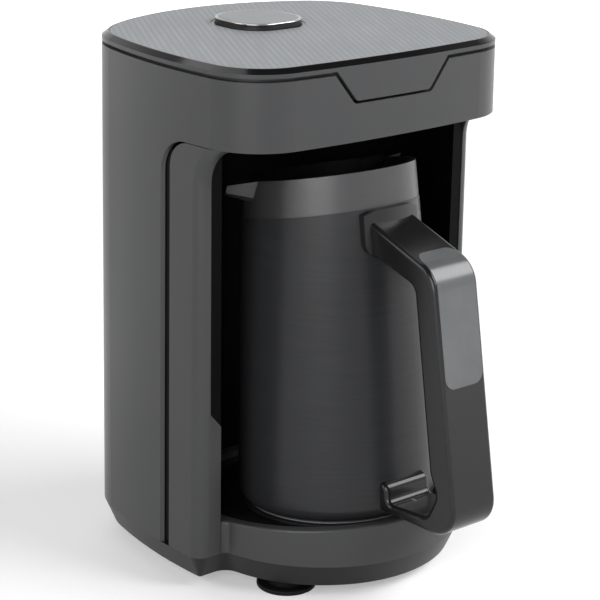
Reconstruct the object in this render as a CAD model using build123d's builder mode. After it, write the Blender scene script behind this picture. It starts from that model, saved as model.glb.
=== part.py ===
from build123d import *
from math import atan2, cos, degrees, hypot, radians, sin, sqrt, tan
import os

# One-pot coffee maker. Millimetres, +Z up. The origin lies on the table plane, on the
# vertical axis of the round platform that carries the pot. The user stands on the -Y side.

os.makedirs("parts", exist_ok=True)

# ---------------------------------------------------------------- driving dimensions

# Body outline from above, at the seam under the lid: four large arcs with rounded corners
BODY_HALF_WIDTH = 80.0
FRONT_REACH = 44.0
REAR_REACH = 101.2
SIDE_WIDEST_Y = 9.7
FRONT_ARC_RADIUS = 617.0
SIDE_ARC_RADIUS = 250.0
REAR_ARC_RADIUS = 114.0
FRONT_CORNER_RADIUS = 27.7
REAR_CORNER_RADIUS = 36.7
DRAFT_ANGLE = 0.42

# Heights above the table
FOOT_HEIGHT = 6.0
BASE_SEAM_Z = 16.8
HEAD_BOTTOM_Z = 205.6
LID_SEAM_Z = 235.6

# Walls and fits
SHELL_WALL = 3.0
TRAY_WALL = 2.6
LINER_WALL = 1.8
SEAM_GAP = 0.3
SLIP_GAP = 0.2

# Pot bay and the columns beside it
COLUMN_WIDTH = 11.8
BAY_HALF_WIDTH = BODY_HALF_WIDTH - COLUMN_WIDTH
COLUMN_FRONT_Y = -12.0
COLUMN_REAR_Y = 8.9
COLUMN_CORNER_RADIUS = 6.0
COLUMN_LIP_DEPTH = 2.4
COLUMN_STEP_LOW_Z = 77.9
COLUMN_STEP_HIGH_Z = 84.6
COLUMN_STEP_WIDTH = 5.8
COLUMN_TOP_CORNER = 12.0
COLUMN_CHANNEL_WALL = 2.6
FLARE_RADIUS = 17.0

# Opening in the side of the shell
OPENING_REVEAL = 5.0
OPENING_CORNER_RADIUS = 15.0
OPENING_CHAMFER_LENGTH = 1.8
OPENING_CHAMFER_DEPTH = 1.2
OPENING_EDGE_WALL = 1.5
REBATE_REACH = 5.0

# Base tray
BASE_DRAFT_ANGLE = 23.0
TRAY_BLEND_SHARE = 1.1
TRAY_FLOOR = 2.8

# Platform
PLATFORM_MARGIN = 1.9
PLATFORM_RADIUS = BAY_HALF_WIDTH - PLATFORM_MARGIN
PLATFORM_FRONT_Z = 36.0
PLATFORM_TILT = 4.2
PLATFORM_WALL = 2.8
PLATFORM_LIP_WIDTH = 4.5
PLATFORM_EDGE_RADIUS = 1.2
DISH_DEPTH = 3.2
DISH_FLOOR = 2.2
DISH_SKIRT_RADIUS = PLATFORM_RADIUS - 6.3
DISH_SKIRT_WALL = 1.2
LEAD_GATE_WIDTH = 44.0
LEAD_GATE_DEPTH = 10.0
LEAD_GATE_HEIGHT = 8.0

# Lid
LID_GROOVE = 1.6
LID_BAND_HEIGHT = 1.8
LID_CHAMFER_HEIGHT = 2.0
LID_CHAMFER_INSET = 2.8
LID_TRIM_LAND = 0.5
LID_SKIRT_DEPTH = 4.8
LID_SKIRT_WALL = 1.8
LEDGE_WIDTH = 2.4
TAB_HALF_WIDTH_TOP = 30.6
TAB_HALF_WIDTH_BOTTOM = 21.0
TAB_BOTTOM_Z = 223.6
TAB_THICKNESS = 2.4
TAB_CORNER_RADIUS = 2.0
TAB_GAP = 1.2

# Power button
BUTTON_Y = REAR_REACH - 52.2
BUTTON_SIZE = 36.0
BUTTON_CORNER_RADIUS = 13.5
BUTTON_PROUD = 3.0
BUTTON_TRAVEL = 1.5
BUTTON_GAP = 0.4
BUTTON_RING_WIDTH = 1.3
BUTTON_RING_HEIGHT = 1.9
BUTTON_WALL = 1.8
BUTTON_CAP_THICKNESS = 2.4
BUTTON_STEM_RADIUS = 3.0
BUTTON_REACH = 18.0
GUIDE_WALL = 1.4
GUIDE_BOTTOM_Z = 230.4
GUIDE_FLOOR = 1.6
GUIDE_FLANGE = 3.0
SPRING_WIRE_RADIUS = 0.4
SPRING_COIL_RADIUS = 5.2
SPRING_TURNS = 3.5

# Froth sensor behind the bay's liner
SENSOR_Z = 190.0
PAD_WIDTH = 26.0
PAD_HEIGHT = 20.0
PAD_DEPTH = 3.0
WINDOW_RADIUS = 6.0

# Control board in the head
BOARD_WIDTH = 64.0
BOARD_DEPTH = 36.0
BOARD_THICKNESS = 1.6
BOARD_Y = BUTTON_Y - 4.0
HEAD_PLATE = 2.5
BOARD_POST_HEIGHT = 9.2
BOARD_POST_RADIUS = 3.2
BOARD_POST_MARGIN = 4.0
BOARD_SCREW_RADIUS = 1.25
BOARD_SCREW_HEAD_RADIUS = 2.3
BOARD_SCREW_HEAD = 1.6
BOARD_SCREW_HEAD_ROUNDING = 0.6
BOARD_SCREW_BITE = 6.0
CHIP_SIZE = (12.0, 9.0, 2.0)
CAPACITOR_SIZE = (3.0, 6.0)
BUZZER_SIZE = (6.0, 4.5)
CONNECTOR_SIZE = (4.0, 7.0, 1.5)

# Pot, in its own leaning frame: heights along its axis
POT_CENTRE_Y = -13.5
POT_LIP_CLEARANCE = 1.7
POT_HEIGHT = 152.7
POT_BASE_RADIUS = 46.0
POT_RIM_RADIUS = 39.5
POT_WAIST_BULGE = 0.9
POT_BAND_HEIGHT = 16.6
POT_BASE_EDGE_RADIUS = 6.0
POT_SLEEVE_WALL = 2.0
POT_STEEL_WALL = 0.9
POT_STEP = 0.25
POT_BASE_DISC_RADIUS = 38.0
RIM_SLANT = 8.0
POT_SEAT_GAP = 0.3
SPOUT_REACH = 12.5
SPOUT_SWEEP = 15.0
SPOUT_ROOT_WIDTH = 17.0
SPOUT_ROOT_DEPTH = 10.5
SPOUT_TIP_WIDTH = 11.0
SPOUT_TIP_DEPTH = 4.0
SPOUT_WALL = 0.9

# Handle
HANDLE_HALF_WIDTH = 13.0
HANDLE_EDGE_RADIUS = 2.0
INSET_HALF_WIDTH = 11.0
INSET_THICKNESS = 1.5
INSET_PROUD = 0.3
INSET_FRONT_Y = -71.0
INSET_LOW_Z = POT_HEIGHT - 47.2
INSET_CORNER_RADIUS = 5.0
COLLAR_HALF_WIDTH = 15.5
COLLAR_THICKNESS = 3.0
COLLAR_LOW_Z = POT_HEIGHT + 0.6
COLLAR_HIGH_Z = POT_HEIGHT + 23.0
COLLAR_CORNER_RADIUS = 7.0
STUD_RADIUS = 2.0
STUD_LENGTH = 14.0
STUD_UPPER_Y = -47.0
STUD_LOWER_Y = -59.0
STUD_LOWER_Z = 41.2

# Heater, in the pot's frame: depths below the bottom of the pot
PLATE_RADIUS = 41.5
PLATE_THICKNESS = 5.0
SEAL_WIDTH = 2.5
SEAL_FLANGE = 1.0
SEAL_FLANGE_THICKNESS = 1.4
ELEMENT_COIL_RADIUS = 28.0
ELEMENT_RADIUS = 3.0
ELEMENT_ARC = 300.0
ELEMENT_PIN_RADIUS = 1.6
SHIELD_RADIUS = 40.0
SHIELD_WALL = 1.0
SHIELD_DEPTH = 9.0
SHIELD_POST_RADIUS = 3.5
THERMOSTAT_RADIUS = 9.0
THERMOSTAT_HEIGHT = 6.0

# Feet and screws
FOOT_RADIUS = 13.5
FOOT_FLANGE = 2.2
FOOT_NECK_RADIUS = 9.0
FOOT_PEG_RADIUS = 3.0
FRONT_FOOT_ANGLE = 32.74
FRONT_FOOT_REACH = PLATFORM_RADIUS - 16.37
FRONT_FOOT = (FRONT_FOOT_REACH * cos(radians(FRONT_FOOT_ANGLE)),
              -FRONT_FOOT_REACH * sin(radians(FRONT_FOOT_ANGLE)))
REAR_FOOT = (BODY_HALF_WIDTH - 30.0, REAR_REACH - 41.2)
BASE_SCREW_RADIUS = 1.5
BASE_SCREW_HEAD_RADIUS = 2.9
BASE_SCREW_HEAD = 1.6
BASE_SCREW_TOP_Z = 29.0
BASE_SCREW_BOSS_RADIUS = 4.2
COLUMN_SCREW_X = BAY_HALF_WIDTH + 5.0
REAR_SCREW_X = 44.0
REAR_SCREW_Y = REAR_REACH - 19.2

# Power board standing in the rear
POWER_BOARD_WIDTH = 60.0
POWER_BOARD_HEIGHT = 72.0
POWER_BOARD_Y = REAR_REACH - 21.2
RELAY_SIZE = (19.0, 11.0, 15.0)
TRANSFORMER_SIZE = (22.0, 9.0, 18.0)
TERMINAL_SIZE = (22.0, 8.0, 9.0)
FILTER_SIZE = (4.0, 9.0)
CORD_GLAND_Z = 33.0
CORD_BORE_RADIUS = 3.5


def body_outline(inset):
    """Outline of the body at the lid seam, drawn in by inset (or grown, when negative)."""
    with BuildSketch() as outline:
        with Locations((0, FRONT_ARC_RADIUS - FRONT_REACH)):
            Circle(FRONT_ARC_RADIUS - inset)
        with Locations((0, REAR_REACH - REAR_ARC_RADIUS)):
            Circle(REAR_ARC_RADIUS - inset, mode=Mode.INTERSECT)
        for side in (-1, 1):
            with Locations((side * (BODY_HALF_WIDTH - SIDE_ARC_RADIUS), SIDE_WIDEST_Y)):
                Circle(SIDE_ARC_RADIUS - inset, mode=Mode.INTERSECT)
        fillet(outline.vertices().sort_by(Axis.Y)[:2], radius=FRONT_CORNER_RADIUS - inset)
        rear_corners = outline.vertices().filter_by_position(Axis.Y, BODY_HALF_WIDTH / 2, REAR_REACH)
        fillet(rear_corners, radius=REAR_CORNER_RADIUS - inset)
    return outline.sketch


def body_growth(z):
    """How far the drafted body stands out, at height z, beyond its outline at the lid seam."""
    return (LID_SEAM_Z - z) * tan(radians(DRAFT_ANGLE))


def body_solid(inset, bottom, top):
    """The drafted body between two heights, drawn in by inset."""
    with BuildPart() as body:
        with BuildSketch(Plane.XY.offset(bottom)):
            add(body_outline(inset - body_growth(bottom)))
        extrude(amount=top - bottom, taper=DRAFT_ANGLE)
    return body.part


def upright(outline, bottom, top):
    """Straight solid of an outline between two heights."""
    with BuildPart() as solid:
        with BuildSketch(Plane.XY.offset(bottom)):
            add(outline)
        extrude(amount=top - bottom)
    return solid.part


def under(outline, bottom, plane):
    """Straight solid of an outline standing at a height and cut off along a plane."""
    with BuildPart() as solid:
        with BuildSketch(Plane.XY.offset(bottom)):
            add(outline)
        extrude(amount=LID_SEAM_Z)
        split(bisect_by=plane, keep=Keep.BOTTOM)
    return solid.part


def disc(radius, x=0.0, y=0.0):
    with BuildSketch() as sketch:
        with Locations((x, y)):
            Circle(radius)
    return sketch.sketch


def squircle(size):
    """Rounded square of the power button, centred where the button stands."""
    growth = (size - BUTTON_SIZE) / 2
    with BuildSketch() as square:
        with Locations((0, BUTTON_Y)):
            RectangleRounded(size, size, BUTTON_CORNER_RADIUS + growth)
    return square.sketch


def save(part, label):
    part.label = label
    export_step(part, f"parts/{label}.step")


# ---------------------------------------------------------------- shared planes

LID_TOP_Z = LID_SEAM_Z + LID_GROOVE + LID_BAND_HEIGHT + LID_CHAMFER_HEIGHT
tray_floor_z = FOOT_HEIGHT + TRAY_FLOOR
tilt = radians(PLATFORM_TILT)
platform_normal = (0, sin(tilt), cos(tilt))
platform_centre_z = PLATFORM_FRONT_Z - PLATFORM_RADIUS * tan(tilt)
platform_top = Plane(origin=(0, 0, platform_centre_z), x_dir=(1, 0, 0), z_dir=platform_normal)
dish_top = platform_top.offset(-DISH_DEPTH)

# The pot's frame: origin at the middle of its bottom, axis square to the platform
pot_base_z = platform_centre_z - (POT_LIP_CLEARANCE + POT_CENTRE_Y * sin(tilt)) / cos(tilt)
pot_base = Plane(origin=(0, POT_CENTRE_Y, pot_base_z), x_dir=(1, 0, 0), z_dir=platform_normal)
slant = radians(PLATFORM_TILT + RIM_SLANT)


def slanted_plane(height):
    """Plane across the pot at a height on its axis, higher on the handle's side."""
    return Plane(origin=pot_base.from_local_coords((0, 0, height)), x_dir=(1, 0, 0),
                 z_dir=(0, sin(slant), cos(slant)))


# Planes square to the studs that carry the handle, facing away from the pot
stud_upper = Plane(origin=(0, STUD_UPPER_Y, POT_HEIGHT + 8.8), x_dir=(1, 0, 0), z_dir=(0, -cos(radians(15)), -sin(radians(15))))
stud_lower = Plane(origin=(0, STUD_LOWER_Y, STUD_LOWER_Z), x_dir=(1, 0, 0), z_dir=(0, -1, 0))
rim_plane = slanted_plane(POT_HEIGHT)
band_plane = slanted_plane(POT_HEIGHT - POT_BAND_HEIGHT)

# ---------------------------------------------------------------- base tray

bay_floor_half_width = BAY_HALF_WIDTH - SLIP_GAP / 2
blend_radius = TRAY_BLEND_SHARE * (bay_floor_half_width - sqrt(PLATFORM_RADIUS ** 2 - COLUMN_FRONT_Y ** 2))


def tray_outline(inset):
    """Rear body and round platform joined by hollow blends, at the seam on top of the tray."""
    with BuildSketch() as outline:
        add(body_outline(inset - body_growth(BASE_SEAM_Z)))
        with Locations((0, COLUMN_FRONT_Y + inset)):
            Rectangle(4 * BODY_HALF_WIDTH, 4 * BODY_HALF_WIDTH, align=(Align.CENTER, Align.MIN),
                      mode=Mode.INTERSECT)
        fillet(outline.vertices().sort_by(Axis.Y)[:2], radius=COLUMN_CORNER_RADIUS - inset)
        Circle(PLATFORM_RADIUS - inset)
        junctions = outline.vertices().filter_by_position(
            Axis.Y, COLUMN_FRONT_Y + inset - 0.01, COLUMN_FRONT_Y + inset + 0.01)
        fillet(junctions.sort_by(lambda v: abs(v.X))[:2], radius=blend_radius + inset)
    return outline.sketch


shield_bottom = POT_SEAT_GAP + PLATE_THICKNESS + SHIELD_DEPTH
foot_places = [(side * x, y) for side in (-1, 1) for x, y in (FRONT_FOOT, REAR_FOOT)]
screw_places = [(side * x, y) for side in (-1, 1)
                for x, y in ((COLUMN_SCREW_X, 0), (REAR_SCREW_X, REAR_SCREW_Y))]
post_places = [(0, POT_CENTRE_Y - 31), (-27, POT_CENTRE_Y + 16), (27, POT_CENTRE_Y + 16)]
screw_seat_z = FOOT_HEIGHT + BASE_SCREW_HEAD + SEAM_GAP



def tray_solid(wall, bottom):
    """The tray's form from a height up to its seam, drawn in by a wall thickness."""
    with BuildPart() as solid:
        with BuildSketch(Plane.XY.offset(bottom)):
            add(tray_outline(wall + (BASE_SEAM_Z - bottom) * tan(radians(BASE_DRAFT_ANGLE))))
        with BuildSketch(Plane.XY.offset(BASE_SEAM_Z)):
            add(tray_outline(wall))
        loft(ruled=True)
    return solid.part


with BuildPart() as base_tray:
    add(tray_solid(0, FOOT_HEIGHT))
    add(tray_solid(TRAY_WALL, tray_floor_z), mode=Mode.SUBTRACT)
    # bosses for the screws that hold the columns and the shell
    with BuildSketch(Plane.XY.offset(tray_floor_z)):
        with Locations(*screw_places):
            Circle(BASE_SCREW_BOSS_RADIUS)
    extrude(amount=BASE_SEAM_Z - tray_floor_z)
    # rails that the power board stands in
    with BuildSketch(Plane.XY.offset(tray_floor_z)):
        for side in (-1, 1):
            with Locations((side * POWER_BOARD_WIDTH / 2, POWER_BOARD_Y)):
                Rectangle(7, 7)
    extrude(amount=POWER_BOARD_HEIGHT / 3)
    with BuildSketch(Plane.XY.offset(tray_floor_z)):
        with Locations((0, POWER_BOARD_Y)):
            Rectangle(POWER_BOARD_WIDTH + SLIP_GAP, BOARD_THICKNESS + SLIP_GAP)
    extrude(amount=POWER_BOARD_HEIGHT, mode=Mode.SUBTRACT)
    # posts under the liner of the pot bay
    with BuildSketch(Plane.XY.offset(tray_floor_z)):
        with PolarLocations(BAY_HALF_WIDTH + LINER_WALL / 2, 3, start_angle=30, angular_range=120,
                            endpoint=True):
            Circle(3)
    extrude(amount=BASE_SEAM_Z - tray_floor_z)
    # posts under the heat shield
    for place in post_places:
        add(under(disc(SHIELD_POST_RADIUS, *place), tray_floor_z - TRAY_FLOOR / 2,
                  pot_base.offset(-shield_bottom)))
    # pockets for the feet's pegs, screw holes and their recesses
    with BuildSketch(Plane.XY.offset(FOOT_HEIGHT)):
        with Locations(*foot_places):
            Circle(FOOT_PEG_RADIUS + SLIP_GAP / 2)
        with Locations(*screw_places):
            Circle(BASE_SCREW_RADIUS + SLIP_GAP)
    extrude(amount=BASE_SEAM_Z, mode=Mode.SUBTRACT)
    with BuildSketch(Plane.XY.offset(FOOT_HEIGHT)):
        with Locations(*screw_places):
            Circle(BASE_SCREW_HEAD_RADIUS + SLIP_GAP)
    extrude(amount=screw_seat_z - FOOT_HEIGHT, mode=Mode.SUBTRACT)

save(base_tray.part, "base_tray")

# ---------------------------------------------------------------- outer shell

opening_rear_y = COLUMN_REAR_Y + OPENING_REVEAL
opening_top_z = HEAD_BOTTOM_Z + SEAM_GAP
far = 2 * BODY_HALF_WIDTH
ledge_top_z = LID_SEAM_Z + LID_GROOVE - LID_SKIRT_DEPTH
rear_arc_y = REAR_REACH - REAR_ARC_RADIUS
screw_radius_at_rear = hypot(REAR_SCREW_X, REAR_SCREW_Y - rear_arc_y)
screw_angle_at_rear = degrees(atan2(REAR_SCREW_X, REAR_SCREW_Y - rear_arc_y))


def opening_profile(plane, rear, corner):
    """Side view of the opening in front of the shell, with its upper rear corner rounded."""
    with BuildSketch(plane) as profile:
        with Locations((rear, opening_top_z)):
            Rectangle(far, 2 * far, align=(Align.MAX, Align.MAX))
        top_rear = profile.vertices().group_by(Axis.Y)[-1].sort_by(Axis.X)[-1]
        fillet(top_rear, radius=corner)
    return profile.sketch


def bevel_profile(side, reach):
    """Opening's outline on the side surface, reaching further back on its outer face."""
    edge = side * (opening_rear_y + reach)
    with BuildSketch() as profile:
        with Locations((edge, opening_top_z)):
            Rectangle(far, 2 * far, align=(Align.MAX if side > 0 else Align.MIN, Align.MAX))
        corner = profile.vertices().group_by(Axis.Y)[-1].sort_by(Axis.X)[-1 if side > 0 else 0]
        fillet(corner, radius=OPENING_CORNER_RADIUS + reach)
    return profile.sketch


def tab_outline(grow, top):
    """Front view of the grip tab of the lid, grown evenly, reaching up to a height."""
    rise = top - (TAB_BOTTOM_Z - grow)
    flare = (TAB_HALF_WIDTH_TOP - TAB_HALF_WIDTH_BOTTOM) / (LID_SEAM_Z - TAB_BOTTOM_Z)
    low = TAB_HALF_WIDTH_BOTTOM + grow
    high = low + rise * flare
    low_z = TAB_BOTTOM_Z - grow
    with BuildSketch(Plane.XZ) as outline:
        with BuildLine():
            Polyline((-high, top), (-low, low_z), (low, low_z), (high, top), close=True)
        make_face()
        fillet(outline.vertices().group_by(Axis.Y)[0], radius=TAB_CORNER_RADIUS + grow)
    return outline.sketch


with BuildPart() as outer_shell:
    add(body_solid(0, BASE_SEAM_Z, LID_SEAM_Z))
    add(body_solid(SHELL_WALL, BASE_SEAM_Z, LID_SEAM_Z), mode=Mode.SUBTRACT)
    # ledge that carries the lid
    add(body_solid(SHELL_WALL - 0.5, ledge_top_z - LEDGE_WIDTH, ledge_top_z))
    add(body_solid(SHELL_WALL + LEDGE_WIDTH, ledge_top_z - LEDGE_WIDTH, ledge_top_z),
        mode=Mode.SUBTRACT)
    # opening that leaves the head overhanging the pot
    extrude(opening_profile(Plane.YZ, opening_rear_y, OPENING_CORNER_RADIUS), amount=far,
            both=True, mode=Mode.SUBTRACT)
    # rebate behind the opening's edge, where the liner's wings lie
    with BuildPart(mode=Mode.PRIVATE) as rebate:
        add(body_solid(OPENING_EDGE_WALL, BASE_SEAM_Z, opening_top_z))
        with Locations((0, 0, BASE_SEAM_Z)):
            Box(2 * far, opening_rear_y + REBATE_REACH, far * 2,
                align=(Align.CENTER, Align.MIN, Align.MIN), mode=Mode.INTERSECT)
    add(rebate.part, mode=Mode.SUBTRACT)
    # bevel along the edge of the opening, running out towards the front
    for side in (-1, 1):
        surface = Plane(origin=(side * (BODY_HALF_WIDTH + body_growth(0)), 0, 0),
                        x_dir=(0, side, 0),
                        z_dir=(side * cos(radians(DRAFT_ANGLE)), 0, sin(radians(DRAFT_ANGLE))))
        with BuildSketch(surface.offset(-OPENING_CHAMFER_DEPTH)):
            add(bevel_profile(side, 0))
        with BuildSketch(surface.offset(OPENING_CHAMFER_DEPTH)):
            add(bevel_profile(side, 2 * OPENING_CHAMFER_LENGTH))
        loft(mode=Mode.SUBTRACT)
    # notch for the grip tab
    extrude(tab_outline(TAB_GAP, LID_SEAM_Z + 1), amount=far, mode=Mode.SUBTRACT)
    # bosses for the rear screws, each on a web to the wall
    for side in (-1, 1):
        with Locations(Location((0, rear_arc_y, BASE_SEAM_Z), (0, 0, -side * screw_angle_at_rear))):
            with Locations((0, screw_radius_at_rear, 0)):
                Cylinder(BASE_SCREW_BOSS_RADIUS, BASE_SEAM_Z,
                         align=(Align.CENTER, Align.CENTER, Align.MIN))
                Box(3, REAR_ARC_RADIUS - screw_radius_at_rear, BASE_SEAM_Z,
                    align=(Align.CENTER, Align.MIN, Align.MIN))
    with BuildSketch(Plane.XY.offset(BASE_SEAM_Z)):
        with Locations(*screw_places):
            Circle(BASE_SCREW_RADIUS + SLIP_GAP / 2)
    extrude(amount=BASE_SCREW_TOP_Z - BASE_SEAM_Z + 1, mode=Mode.SUBTRACT)
    # hole for the cord's gland
    with BuildSketch(Plane.XZ.offset(-REAR_REACH - SHELL_WALL)):
        with Locations((0, CORD_GLAND_Z)):
            Circle(CORD_BORE_RADIUS + SHELL_WALL)
    extrude(amount=4 * SHELL_WALL, mode=Mode.SUBTRACT)

save(outer_shell.part, "outer_shell")

# ---------------------------------------------------------------- columns

step_drop = COLUMN_STEP_HIGH_Z - COLUMN_STEP_LOW_Z
lip_rear_y = COLUMN_FRONT_Y + COLUMN_LIP_DEPTH
body_inner_x = BAY_HALF_WIDTH + LINER_WALL + SLIP_GAP


def column(side):
    """Column on one side: a body with a thin front lip that narrows above the sloping step."""
    inner_x = side * BAY_HALF_WIDTH
    step_x = inner_x + side * COLUMN_STEP_WIDTH
    outward = (Align.MIN if side > 0 else Align.MAX, Align.MIN)
    width = BODY_HALF_WIDTH - BAY_HALF_WIDTH + 10
    with BuildPart() as part:
        # side view: straight front with a concave flare that carries the head forwards
        with BuildSketch(Plane.YZ.offset(inner_x)) as side_view:
            with BuildLine():
                Polyline((COLUMN_FRONT_Y, HEAD_BOTTOM_Z - FLARE_RADIUS), (COLUMN_FRONT_Y, BASE_SEAM_Z),
                         (COLUMN_REAR_Y, BASE_SEAM_Z), (COLUMN_REAR_Y, HEAD_BOTTOM_Z),
                         (COLUMN_FRONT_Y - FLARE_RADIUS, HEAD_BOTTOM_Z))
                RadiusArc((COLUMN_FRONT_Y - FLARE_RADIUS, HEAD_BOTTOM_Z),
                          (COLUMN_FRONT_Y, HEAD_BOTTOM_Z - FLARE_RADIUS), FLARE_RADIUS)
            make_face()
            fillet(side_view.vertices().sort_by(lambda v: v.X + v.Y)[-1], radius=COLUMN_TOP_CORNER)
        extrude(amount=side * width)
        add(body_solid(0, BASE_SEAM_Z, HEAD_BOTTOM_Z), mode=Mode.INTERSECT)
        outer_front = part.edges().filter_by(
            lambda e: side * e.center().X > step_x * side + 2 and e.center().Y < COLUMN_FRONT_Y + 0.1
            and BASE_SEAM_Z + 1 < e.center().Z < HEAD_BOTTOM_Z - 1)
        fillet(outer_front, radius=COLUMN_CORNER_RADIUS)
        # room for the side wall of the bay's liner behind the lip
        with BuildSketch(Plane.XY.offset(BASE_SEAM_Z)):
            with Locations((side * body_inner_x, lip_rear_y)):
                Rectangle(far, far, align=(Align.MAX if side > 0 else Align.MIN, Align.MIN))
        extrude(amount=far * 2, mode=Mode.SUBTRACT)
        # the lip's step: above it the liner shows instead of the column
        with BuildSketch(Plane.XZ.offset(-lip_rear_y)):
            with BuildLine():
                Polyline((inner_x, COLUMN_STEP_LOW_Z), (step_x, COLUMN_STEP_HIGH_Z),
                         (step_x, LID_SEAM_Z), (inner_x, LID_SEAM_Z), close=True)
            make_face()
        extrude(amount=far, mode=Mode.SUBTRACT)
        # channel for the wiring, open to the rear, and the hole for the base screw
        channel_x = body_inner_x + COLUMN_CHANNEL_WALL
        with BuildSketch(Plane.XZ.offset(-COLUMN_REAR_Y)):
            with Locations((side * channel_x, BASE_SCREW_TOP_Z + 5)):
                Rectangle(BODY_HALF_WIDTH - COLUMN_CHANNEL_WALL - channel_x, HEAD_BOTTOM_Z - 50,
                          align=outward)
        extrude(amount=COLUMN_REAR_Y - lip_rear_y - COLUMN_CHANNEL_WALL, mode=Mode.SUBTRACT)
        with BuildSketch(Plane.XY.offset(BASE_SEAM_Z)):
            with Locations((side * COLUMN_SCREW_X, 0)):
                Circle(BASE_SCREW_RADIUS + SLIP_GAP / 2)
        extrude(amount=BASE_SCREW_TOP_Z - BASE_SEAM_Z + 1, mode=Mode.SUBTRACT)
    return part.part


left_column = column(-1)
right_column = column(1)
save(left_column, "left_column")
save(right_column, "right_column")

# ---------------------------------------------------------------- platform


def bay_outline(half_width, front_y):
    """Plan of the pot bay: straight sides and a half-round rear."""
    with BuildSketch() as bay:
        with BuildLine():
            Polyline((-half_width, 0), (-half_width, front_y), (half_width, front_y), (half_width, 0))
            ThreePointArc((half_width, 0), (0, half_width), (-half_width, 0))
        make_face()
    return bay.sketch


with BuildSketch() as platform_outline:
    add(bay_outline(bay_floor_half_width, COLUMN_FRONT_Y))
    Circle(PLATFORM_RADIUS)
    crossings = platform_outline.vertices().filter_by_position(
        Axis.Y, COLUMN_FRONT_Y - 0.01, COLUMN_FRONT_Y + 0.01)
    fillet(crossings.sort_by(lambda v: abs(v.X))[:2], radius=blend_radius)

with BuildPart() as platform_ring:
    add(under(platform_outline.sketch, BASE_SEAM_Z, platform_top))
    fillet(platform_ring.faces().sort_by(Axis.Z)[-1].edges(), radius=PLATFORM_EDGE_RADIUS)
    add(under(disc(PLATFORM_RADIUS - PLATFORM_WALL), BASE_SEAM_Z, dish_top), mode=Mode.SUBTRACT)
    with BuildSketch(Plane.XY.offset(BASE_SEAM_Z)):
        Circle(PLATFORM_RADIUS - PLATFORM_LIP_WIDTH)
    extrude(amount=PLATFORM_FRONT_Z, mode=Mode.SUBTRACT)

save(platform_ring.part, "platform_ring")

plate_top = pot_base.offset(-POT_SEAT_GAP)
plate_bottom = plate_top.offset(-PLATE_THICKNESS)
dish_under = dish_top.offset(-DISH_FLOOR)
seal_radius = PLATE_RADIUS + SEAL_WIDTH

dish_hole = pot_base.offset(-DISH_DEPTH)

with BuildPart() as platform_dish:
    add(under(disc(PLATFORM_RADIUS - PLATFORM_WALL - SLIP_GAP), tray_floor_z, dish_top))
    add(under(disc(PLATFORM_RADIUS), tray_floor_z, dish_under), mode=Mode.SUBTRACT)
    add(under(disc(DISH_SKIRT_RADIUS), tray_floor_z, dish_under))
    add(under(disc(DISH_SKIRT_RADIUS - DISH_SKIRT_WALL), tray_floor_z, dish_under), mode=Mode.SUBTRACT)
    with BuildSketch(dish_hole):
        Circle(seal_radius + SLIP_GAP / 2)
    extrude(amount=far, both=True, mode=Mode.SUBTRACT)
    # way out for the heater's leads
    with Locations((0, DISH_SKIRT_RADIUS, tray_floor_z)):
        Box(LEAD_GATE_WIDTH, LEAD_GATE_DEPTH, LEAD_GATE_HEIGHT,
            align=(Align.CENTER, Align.CENTER, Align.MIN), mode=Mode.SUBTRACT)

save(platform_dish.part, "platform_dish")

# ---------------------------------------------------------------- heater under the pot

groove_depth = SLIP_GAP / 2
element_plane = plate_bottom.offset(groove_depth)
half_gap = radians((360 - ELEMENT_ARC) / 2)
pin_places = [(side * ELEMENT_COIL_RADIUS * sin(half_gap), ELEMENT_COIL_RADIUS * cos(half_gap))
              for side in (-1, 1)]
pin_length = SHIELD_DEPTH + 4.0

with BuildPart() as heating_plate:
    with BuildSketch(plate_bottom):
        Circle(PLATE_RADIUS)
    extrude(amount=PLATE_THICKNESS)
    fillet(heating_plate.faces().sort_by(Axis.Z)[-1].edges(), radius=0.8)
    with Locations(Location(plate_bottom)):
        Torus(ELEMENT_COIL_RADIUS, ELEMENT_RADIUS + groove_depth, mode=Mode.SUBTRACT)

save(heating_plate.part, "heating_plate")

with BuildPart() as heating_element:
    with Locations(Location(element_plane) * Location((0, 0, 0), (0, 0, 90 + degrees(half_gap)))):
        Torus(ELEMENT_COIL_RADIUS, ELEMENT_RADIUS, major_angle=ELEMENT_ARC)
    with BuildSketch(element_plane):
        with Locations(*pin_places):
            Circle(ELEMENT_PIN_RADIUS)
    extrude(amount=-pin_length)

save(heating_element.part, "heating_element")

seal_top = plate_top.offset(-0.6)
seal_depth = DISH_DEPTH - POT_LIP_CLEARANCE + DISH_FLOOR - POT_SEAT_GAP - 0.6

with BuildPart() as plate_seal:
    with BuildSketch(seal_top):
        Circle(seal_radius)
        Circle(PLATE_RADIUS, mode=Mode.SUBTRACT)
    extrude(amount=-seal_depth)
    with BuildSketch(seal_top.offset(-seal_depth)):
        Circle(seal_radius + SEAL_FLANGE)
        Circle(PLATE_RADIUS, mode=Mode.SUBTRACT)
    extrude(amount=-SEAL_FLANGE_THICKNESS)

save(plate_seal.part, "plate_seal")

shield_floor = pot_base.offset(-shield_bottom)
with BuildPart() as heat_shield:
    with BuildSketch(shield_floor):
        Circle(SHIELD_RADIUS)
    extrude(amount=SHIELD_DEPTH)
    with BuildSketch(shield_floor.offset(SHIELD_WALL)):
        Circle(SHIELD_RADIUS - SHIELD_WALL)
    extrude(amount=SHIELD_DEPTH, mode=Mode.SUBTRACT)
    with BuildSketch(shield_floor):
        with Locations(*pin_places):
            Circle(2 * ELEMENT_PIN_RADIUS)
    extrude(amount=SHIELD_DEPTH, mode=Mode.SUBTRACT)

save(heat_shield.part, "heat_shield")

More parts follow.
